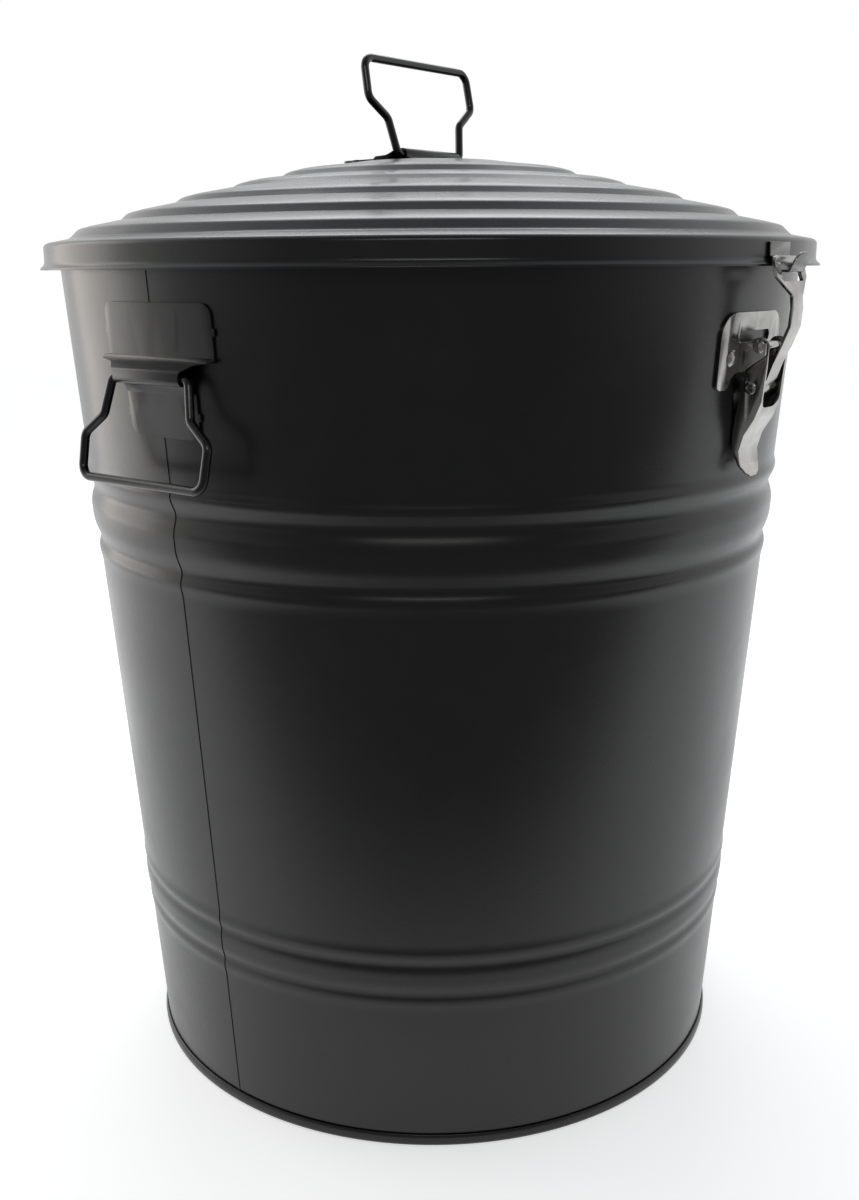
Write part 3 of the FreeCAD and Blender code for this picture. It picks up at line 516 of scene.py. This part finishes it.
@dataclass(frozen=True)
class BrightPlate:
    """Bright zinc plate on pressed steel: soft smudges, fine scratches and a faint bloom.

    Scales are spots per metre, and a band is the part of a noise that shows.
    """

    name: str
    base: Colour = (0.46, 0.45, 0.435, 1.0)
    bloom: Colour = (0.24, 0.236, 0.23, 1.0)
    roughness: float = 0.13
    cloud_scale: float = 34.0
    blot_scale: float = 160.0
    scratch_scale: float = 60.0
    scratch_stretch: Place = (40.0, 40.0, 3.0)
    haze_band: Band = (0.4, 0.65)
    blot_band: Band = (0.5, 0.75)
    scratch_band: Band = (0.6, 0.72)
    haze_share: float = 0.7
    blot_share: float = 0.2
    haze_rough: float = 0.09
    mark_rough: float = 0.05
    relief: float = 0.05
    relief_depth: float = 0.0008
    wave_height: float = 2.0
    scratch_height: float = 0.08

    def build(self) -> bpy.types.Material:
        """The finish as a material.

        Returns:
            The material.
        """
        material, graph = new_material(self.name)
        where = graph.node("ShaderNodeTexCoord", output="Object")
        clouds = graph.noise(where, self.cloud_scale, 3.0, 0.55)
        haze = graph.spread(clouds, self.haze_band)
        blot = graph.spread(graph.noise(where, self.blot_scale, 3.0, 0.55), self.blot_band)
        stretched = graph.node("ShaderNodeMapping", {}, {"Vector": where, "Scale": self.scratch_stretch})
        lines = graph.spread(graph.noise(stretched, self.scratch_scale), self.scratch_band)
        shade = graph.mix(haze * self.haze_share + blot * self.blot_share, self.base, self.bloom)
        rough = self.roughness + haze * self.haze_rough + blot * self.mark_rough + lines * self.mark_rough
        height = clouds * self.wave_height + lines * self.scratch_height
        relief = {"Strength": self.relief, "Distance": self.relief_depth, "Height": height}
        bump = graph.node("ShaderNodeBump", {}, relief)
        plate = {"Base Color": shade, "Roughness": rough, "Metallic": 1.0, "Normal": bump}
        shader = graph.node("ShaderNodeBsdfPrincipled", {}, plate)
        graph.node("ShaderNodeOutputMaterial", {}, {"Surface": shader})
        return material


class Finish(Enum):
    """The finishes on the bin, each with the record's material slot that it belongs to."""

    CAN = ("can_coat", PowderCoat("can_black"))
    LID = ("lid_coat", PowderCoat("lid_black", base=0.006, dusty=0.014, roughness=0.27))
    STRAP = ("strap_coat", PowderCoat("strap_black", base=0.006, dusty=0.012, roughness=0.3, peel=0.03))
    WIRE = ("wire_coat", PowderCoat("wire_black", base=0.004, dusty=0.008, roughness=0.2, peel=0.02))
    PLATED = ("plated_steel", BrightPlate("bright_zinc"))
    # The catch wears a darker copy of the plated steel in the same slot: painted shade, standing in for the
    # dark lid and can that it reflects.
    CATCH = ("plated_steel", BrightPlate("zinc_painted_shade", base=(0.17, 0.168, 0.165, 1.0), bloom=grey(0.1)))


class Painter:
    """Builds each finish once and puts it on pieces."""

    def __init__(self) -> None:
        """Start with no finish built."""
        self.built: dict[Finish, bpy.types.Material] = {}

    def dress(self, piece: bpy.types.Object, finish: Finish) -> None:
        """Give a piece its finish as its only material.

        Args:
            piece: The object.
            finish: Which finish it takes.
        """
        slot, recipe = finish.value
        if finish not in self.built:
            self.built[finish] = recipe.build()
        piece.data.materials.clear()
        piece.data.materials.append(self.built[finish])


# ---------------------------------------------------------------- the bin


@dataclass
class Can:
    """The tapered wall with its rolled swages and turned rim, and the seamed foot."""

    sheet: float = 0.8
    height: float = 479.0
    top_radius: float = 211.9
    base_radius: float = 176.4
    smooth_angle: float = 40.0
    axis_gap: float = 0.4
    rim_width: float = 6.2
    rim_drop: float = 6.5
    rim_round: float = 1.0
    rim_inner_round: float = 0.6
    rim_turn: float = 1.0
    rim_turn_inside: float = 1.2
    rim_turn_outside: float = 1.6
    seam_width: float = 1.7
    seam_rise: float = 0.36
    seam_stand: float = 0.3
    seam_thickness: float = 1.4
    seam_margin: float = 1.0
    floor_gap: float = 9.0
    fit_gap: float = 0.1
    pan_round: float = 4.0
    hem_land: float = 3.0
    foot_height: float = 6.6
    foot_bulge: float = 2.2
    bulge_low: float = 1.6
    bulge_high: float = 4.6
    foot_round: float = 0.7
    swage_round: float = 3.6
    swages: tuple[tuple[float, tuple[Point, ...]], ...] = (
        (333.0, ((28, 0), (23, 1.7), (13.8, -1.9), (6, 1.6), (-6, 1.7), (-16, -1.5), (-21.5, 1.2), (-28, 0))),
        (104.0, ((19, 0), (14, 0.9), (9, -0.4), (4.5, 0.9), (-4, 0.9), (-9, -0.4), (-13.7, 0.8), (-19, 0))),
    )

    def radius(self, height: float) -> float:
        """Outside radius of the plain wall at a height."""
        return self.base_radius + (self.top_radius - self.base_radius) * height / self.height

    def skin_line(self) -> list[Point]:
        """Outside of the wall with its swages, from the foot up to the rim.

        Returns:
            (radius, height) pairs.
        """
        foot = self.sheet + self.fit_gap
        line = [(self.radius(foot), foot)]
        for middle, stations in reversed(self.swages):
            for rise, out in reversed(stations):
                line.append((self.radius(middle + rise) + out, middle + rise))
        top = self.height - self.rim_turn
        line.append((self.radius(top), top))
        return rounded(line, self.swage_round, 5)

    def wall_outline(self) -> list[Point]:
        """Closed outline of the wall, outside first, with the rim turned out and down.

        Returns:
            (radius, height) pairs.
        """
        outside = self.skin_line()
        inside = [(r - self.sheet, z) for r, z in outside]
        rim = self.top_radius + self.rim_width
        lip = self.height - self.rim_drop
        over = [
            (inside[-1][0], self.height - self.rim_turn_inside),
            (self.top_radius - self.sheet + self.fit_gap, self.height),
            (rim, self.height),
            (rim, lip),
        ]
        under = [
            (rim - self.sheet, lip),
            (rim - self.sheet, self.height - self.sheet),
            (outside[-1][0], self.height - self.sheet),
            (outside[-1][0], self.height - self.rim_turn_outside),
        ]
        over = rounded(over, self.rim_round, 3)
        under = rounded(under, self.rim_inner_round, 2)
        return outside[:-1] + under[::-1] + over[::-1] + inside[::-1][1:]

    def foot_outline(self) -> list[Point]:
        """Closed outline of the bottom disc, its flange and the hem round the wall.

        Returns:
            (radius, height) pairs.
        """
        inner = self.base_radius - self.sheet - self.fit_gap
        flange = inner - self.sheet
        bulge = self.base_radius + self.foot_bulge
        hem = self.radius(self.foot_height) + self.fit_gap
        skin = [
            (self.axis_gap, self.floor_gap),
            (inner - self.pan_round, self.floor_gap),
            (flange, self.floor_gap - self.pan_round),
            (flange, 0.0),
            (flange + self.hem_land, 0.0),
            (bulge, self.bulge_low),
            (bulge, self.bulge_high),
            (hem + self.sheet, self.foot_height),
            (hem, self.foot_height),
            (hem, self.sheet),
            (inner, self.sheet),
            (inner, self.floor_gap + self.sheet - self.pan_round),
            (inner - self.pan_round, self.floor_gap + self.sheet),
            (self.axis_gap, self.floor_gap + self.sheet),
        ]
        return rounded(skin, self.foot_round, 3, closed=True)

    def build(self, painter: Painter) -> list[bpy.types.Object]:
        """Build and dress the wall, the foot and the seam's lap.

        Args:
            painter: Puts the finishes on.

        Returns:
            The pieces.
        """
        wall = settle(spin_outline("can_skin", self.wall_outline(), 224), self.smooth_angle)
        foot = settle(spin_outline("foot_skin", self.foot_outline(), 192), self.smooth_angle)
        seam = self.seam_lap()
        for piece, node in ((wall, "can_wall"), (foot, "base_pan"), (seam, "can_wall")):
            painter.dress(piece, Finish.CAN)
            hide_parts(node)
            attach(piece, "can")
        return [wall, foot, seam]

    def seam_lap(self) -> bpy.types.Object:
        """The wall's welded lap, a narrow strip down the sheet behind the left handle.

        Returns:
            The strip.
        """
        low, high = self.foot_height + self.seam_margin, self.height - self.rim_drop - self.seam_margin
        line = [(r, z) for r, z in self.skin_line() if low < z < high]
        line = [(self.radius(low), low), *line, (self.radius(high), high)]
        line = [(r + self.seam_rise * self.seam_stand, z) for r, z in line]
        width = self.seam_width / self.top_radius
        strip = spin_outline("seam_lap", line, 3, closed=False, turn=width)
        apply_modifier(strip, "SOLIDIFY", thickness=self.seam_rise * self.seam_thickness * MM, offset=0.0)
        strip.rotation_euler.z = math.pi - width / 2
        return settle(strip, smooth_angle=25.0)


@dataclass
class Lid:
    """The stepped lid: flared lip, skirt, five rolled rings and a flat crown.

    Each ring is the radius and height of its riser's foot and the riser's height.
    """

    base: float = 466.0
    sheet: float = 0.8
    radius: float = 219.4
    smooth_angle: float = 40.0
    axis_gap: float = 0.4
    lip: float = 2.4
    lip_edge: float = 1.0
    lip_flare: float = 3.0
    lip_inside: float = 2.4
    lip_share: float = 0.6
    skirt: float = 14.1
    shoulder: float = 1.6
    crown: float = 58.5
    crown_radius: float = 45.0
    crown_slope: Point = (10.0, 1.5)
    valley: Point = (2.0, 0.6)
    riser_run: float = 5.0
    tread: Point = (11.0, 1.6)
    ring_round: float = 1.5
    skirt_overlap: float = 2.0
    inside_from: float = 1.0
    sheet_share: Point = (0.55, 0.9)
    rings: tuple[Place, ...] = (
        (205.5, 16.5, 5.0),
        (178.5, 25.4, 4.7),
        (148.5, 34.6, 4.0),
        (117.0, 43.0, 3.2),
        (88.5, 48.8, 4.0),
    )

    def top_line(self) -> list[Point]:
        """Outside of the lid over its base, from the lip to the crown.

        Returns:
            (radius, height) pairs.
        """
        line: list[Point] = [
            (self.radius + self.lip, 0.0),
            (self.radius + self.lip, self.lip_edge),
            (self.radius, self.lip_flare),
            (self.radius, self.skirt - self.shoulder),
            (self.radius - self.shoulder, self.skirt),
        ]
        for index, (radius, height, riser) in enumerate(self.rings):
            if index:
                line.append((radius + self.valley[0], height + self.valley[1]))
            line.append((radius, height))
            line.append((radius - self.riser_run, height + riser))
            line.append((radius - self.tread[0], height + riser + self.tread[1]))
        line.append((self.crown_radius + self.crown_slope[0], self.crown - self.crown_slope[1]))
        line += [(self.crown_radius, self.crown), (self.axis_gap, self.crown)]
        return rounded(line, self.ring_round, 4)

    def outline(self) -> list[Point]:
        """Closed outline of the lid, outside first.

        Returns:
            (radius, height) pairs.
        """
        outside = self.top_line()
        inward, down = (self.sheet * share for share in self.sheet_share)
        kept = [(r, z) for r, z in outside if z > self.skirt - self.inside_from]
        inside = [(max(r - inward, self.axis_gap), z - down) for r, z in kept]
        wall = [
            (self.radius - self.sheet, self.skirt - self.skirt_overlap),
            (self.radius - self.sheet, self.lip_inside),
            (self.radius + self.lip * self.lip_share, 0.0),
        ]
        return [(r, z + self.base) for r, z in outside + inside[::-1] + wall]

    def build(self, painter: Painter) -> list[bpy.types.Object]:
        """Build and dress the lid's shell.

        Args:
            painter: Puts the finish on.

        Returns:
            The pieces.
        """
        shell = settle(spin_outline("lid_skin", self.outline(), 224), self.smooth_angle)
        painter.dress(shell, Finish.LID)
        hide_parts("lid_shell")
        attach(shell, "lid")
        return [shell]


@dataclass
class Bail:
    """One bent wire bail on its pressed strap plate.

    The corners run from the middle of the sleeve round one half of the wire, and each has its bend's radius.
    """

    node: str
    plate: str
    holder: str
    hinge: Place
    turn: Matrix
    wire: float = 4.5
    end_gap: float = 1.0
    plate_edge: float = 0.28
    corners: tuple[Point, ...] = ((28.0, 0.0), (32.2, -19.5), (46.0, -29.6), (45.2, -51.2))
    bends: tuple[float, ...] = (4.2, 6.0, 6.0, 6.5)

    def build(self, frame: dict, painter: Painter) -> list[bpy.types.Object]:
        """Build and dress the wire and its plate.

        Args:
            painter: Puts the finishes on.

        Returns:
            The pieces.
        """
        path = [(0.0, 0.0), *self.corners]
        path += [(-y, z) for y, z in reversed(self.corners)] + [(-self.end_gap, 0.0)]
        line = arc_corners(path, self.bends + self.bends[::-1])
        place = Matrix.Translation(Vector(self.hinge) * MM) @ self.turn
        wire = bent_wire(f"{self.node}_wire", line, self.wire, place)
        painter.dress(wire, Finish.WIRE)
        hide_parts(self.node)
        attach(wire, self.node)
        plate = refined_copy(frame, self.plate, self.plate_edge)
        painter.dress(plate, Finish.STRAP)
        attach(plate, self.holder)
        return [wire, plate]


@dataclass
class Handles:
    """The three bails, placed from the sizes of what carries them. Leans are in degrees."""

    can: Can
    lid: Lid
    hinge_drop: float = 63.0
    side_stand: float = 5.5
    side_lean: float = 11.0
    lid_stand: float = 4.0
    lid_lean: float = 100.4

    def bails(self) -> list[Bail]:
        """The bails in their places.

        Returns:
            The left, the right and the lid's bail.
        """
        height = self.can.height - self.hinge_drop
        reach = self.can.radius(height) + self.side_stand
        top = self.lid.base + self.lid.crown + self.lid_stand
        lean = Matrix.Rotation(math.radians(-self.side_lean), 4, "Y")
        half_turn = Matrix.Rotation(math.pi, 4, "Z")
        across = Matrix.Rotation(math.radians(-120.0), 4, Vector((1, 1, 1)))
        upright = Matrix.Rotation(math.radians(-self.lid_lean), 4, "Y")
        return [
            Bail("left_bail", "left_handle_plate", "can", (-reach, 0, height), half_turn @ lean),
            Bail("right_bail", "right_handle_plate", "can", (reach, 0, height), lean),
            Bail("lid_bail", "lid_handle_plate", "lid", (0, 0, top), across @ upright),
        ]

    def build(self, frame: dict, painter: Painter) -> list[bpy.types.Object]:
        """Build and dress every bail with its plate.

        Args:
            painter: Puts the finishes on.

        Returns:
            The pieces.
        """
        return [piece for bail in self.bails() for piece in bail.build(frame, painter)]


@dataclass
class ToggleLatch:
    """One plated toggle latch with its catch on the lid, and how widely each part's edges are broken."""

    side: str
    edges: dict[str, float] = field(
        default_factory=lambda: {
            "latch_base": 0.3,
            "latch_rivets": 0.3,
            "lever_pin": 0.25,
            "lever": 0.3,
            "claw_pin": 0.2,
            "claw": 0.35,
            "catch": 0.3,
        }
    )

    def body_of(self, part: str) -> str:
        """The body that a part of the latch rides on.

        Args:
            part: The part's name without its side.

        Returns:
            The body's name.
        """
        lever, claw = f"{self.side}_lever", f"{self.side}_claw"
        riders = {"lever": lever, "claw_pin": lever, "claw": claw, "catch": "lid"}
        return riders.get(part, "can")

    def build(self, frame: dict, painter: Painter) -> list[bpy.types.Object]:
        """Build and dress every part of the latch.

        Args:
            painter: Puts the finish on.

        Returns:
            The pieces.
        """
        made = []
        for part, edge in self.edges.items():
            piece = refined_copy(frame, f"{self.side}_{part}", edge)
            # The catch takes the darker plated steel, painted shade for the dark lid and can that it
            # reflects.
            painter.dress(piece, Finish.CATCH if part == "catch" else Finish.PLATED)
            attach(piece, self.body_of(part))
            made.append(piece)
        return made


# ---------------------------------------------------------------- studio


@dataclass
class Lamp:
    """One large soft lamp: its place and size in metres, its power in watts and its colour."""

    name: str
    place: Place
    size: tuple[float, float]
    power: float
    colour: Place
    aim: Place = (0.0, 0.0, 0.3)

    def build(self) -> None:
        """Hang the lamp and turn it to the bin."""
        deselect_all()
        bpy.ops.object.light_add(type="AREA", location=self.place)
        lamp = name_active(self.name)
        lamp.data.shape = "RECTANGLE"
        lamp.data.size, lamp.data.size_y = self.size
        lamp.data.energy = self.power
        lamp.data.color = self.colour
        aim = Vector(self.aim) - Vector(self.place)
        lamp.rotation_euler = aim.to_track_quat("-Z", "Y").to_euler()


@dataclass
class Studio:
    """Camera, pale floor, soft lamps and the room. Lengths are metres and angles degrees.

    The floor and the room dim towards the camera, so that the bin's front reflects a darker room.
    """

    distance: float = 0.8
    eye_height: float = 0.466
    azimuth: float = -50.7
    pitch: float = 14.22
    roll: float = 0.363
    lens: float = 39.3
    sensor: float = 36.0
    shift: tuple[float, float] = (-0.0023, 0.0)
    floor_radius: float = 6.0
    floor_drop: float = 0.0004
    floor_tone: float = 0.8
    floor_glow: float = 0.56
    floor_fade: Band = (0.26, 0.5)
    floor_dim: float = 0.2
    room_fade: Band = (0.0, 0.85)
    room_dim: float = 0.2
    ceiling_dim: float = 0.6
    tint_band: Band = (0.4, 0.8)
    ceiling_tint: Colour = (0.88, 0.94, 1.0, 1.0)
    lamps: tuple[Lamp, ...] = (
        Lamp("back_softbox", (0.9, 0.75, 1.7), (1.3, 1.0), 9.0, (0.96, 0.98, 1.0)),
        Lamp("left_panel", (-0.5, 1.7, 0.7), (1.2, 1.6), 9.0, (1.0, 0.93, 0.84)),
        Lamp("window_strip", (-1.3, -1.06, 1.35), (1.1, 0.3), 3.6, (1.0, 0.98, 0.95)),
    )

    def towards_camera(self) -> Vector:
        """Level direction from the bin to the camera."""
        turn = math.radians(self.azimuth)
        return Vector((math.sin(turn), -math.cos(turn), 0))

    def camera(self) -> None:
        """Set the camera where the photograph was taken from."""
        away, up = self.towards_camera(), Vector((0, 0, 1))
        pitch, lean = math.radians(self.pitch), math.radians(self.roll)
        ahead = -away * math.cos(pitch) - up * math.sin(pitch)
        place = away * self.distance + up * self.eye_height
        right = ahead.cross(up).normalized()
        up = right.cross(ahead)
        leant = right * math.cos(lean) - up * math.sin(lean)
        right, up = leant, up * math.cos(lean) + right * math.sin(lean)
        deselect_all()
        bpy.ops.object.camera_add(location=(0, 0, 0))
        camera = name_active("photo_camera")
        camera.matrix_world = Matrix.Translation(place) @ Matrix((right, up, -ahead)).transposed().to_4x4()
        camera.data.lens = self.lens
        camera.data.sensor_width = self.sensor
        camera.data.shift_x, camera.data.shift_y = self.shift
        bpy.context.scene.camera = camera

    def floor_material(self) -> bpy.types.Material:
        """A pale matt floor that shows bright to the camera, in metal and in glass, and keeps the shadow.

        Returns:
            The material.
        """
        material, graph = new_material("pale_floor")
        shown = graph.node("ShaderNodeLightPath", output="Is Camera Ray")
        for kind in ("Is Glossy Ray", "Is Transmission Ray"):
            shown = shown + graph.node("ShaderNodeLightPath", output=kind)
        forward = graph.along(graph.node("ShaderNodeTexCoord", output="Object"), self.towards_camera())
        pale = graph.spread(forward, self.floor_fade, 1.0, self.floor_dim)
        tone = graph.mix(pale, grey(0.0), grey(self.floor_tone))
        matt = graph.node("ShaderNodeBsdfDiffuse", {}, {"Color": tone})
        glow = graph.node("ShaderNodeEmission", {}, {"Color": grey(1.0), "Strength": pale * self.floor_glow})
        both = graph.node("ShaderNodeAddShader", {}, {0: matt, 1: glow})
        surface = graph.node("ShaderNodeMixShader", {}, {0: shown, 1: matt, 2: both})
        graph.node("ShaderNodeOutputMaterial", {}, {"Surface": surface})
        return material

    def floor(self) -> None:
        """Lay the floor just under the bin."""
        deselect_all()
        place = (0, 0, -self.floor_drop)
        bpy.ops.mesh.primitive_circle_add(vertices=128, radius=self.floor_radius, location=place)
        bpy.ops.object.mode_set(mode="EDIT")
        bpy.ops.mesh.edge_face_add()
        bpy.ops.object.mode_set(mode="OBJECT")
        floor = name_active("studio_floor")
        bpy.ops.object.transform_apply(location=True, rotation=True, scale=True)
        floor.data.materials.append(self.floor_material())

    def room(self) -> None:
        """A white room beside and behind the bin, dimmer behind the camera and overhead."""
        world = bpy.data.worlds.new("studio_world")
        bpy.context.scene.world = world
        world.use_nodes = True
        graph = NodeGraph(world.node_tree)
        where = graph.node("ShaderNodeTexCoord", output="Generated")
        facing = graph.along(where, self.towards_camera())
        upward = graph.along(where, Vector((0, 0, 1)))
        dimming = facing + graph.spread(upward, (0.0, 1.0), 0.0, self.ceiling_dim)
        level = graph.spread(dimming, self.room_fade, 1.0, self.room_dim)
        tint = graph.mix(graph.spread(upward, self.tint_band), grey(1.0), self.ceiling_tint)
        background = graph.node("ShaderNodeBackground", {}, {"Color": tint, "Strength": level})
        graph.node("ShaderNodeOutputWorld", {}, {"Surface": background})

    def build(self) -> None:
        """Set up the whole studio."""
        self.room()
        for lamp in self.lamps:
            lamp.build()
        self.floor()
        self.camera()
        bpy.context.scene.view_settings.view_transform = "Standard"


def main() -> None:
    """Build every sub-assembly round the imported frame, then the studio."""
    logging.basicConfig(level=logging.INFO, format="%(name)s: %(message)s")
    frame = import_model()
    painter = Painter()
    can, lid = Can(), Lid()
    made = can.build(painter) + lid.build(painter)
    for assembly in (Handles(can, lid), ToggleLatch("front"), ToggleLatch("rear")):
        made += assembly.build(frame, painter)
    for piece in made:
        LOG.info("%s: %d faces", piece.name, len(piece.data.polygons))
    Studio().build()


if __name__ == "__main__":
    main()
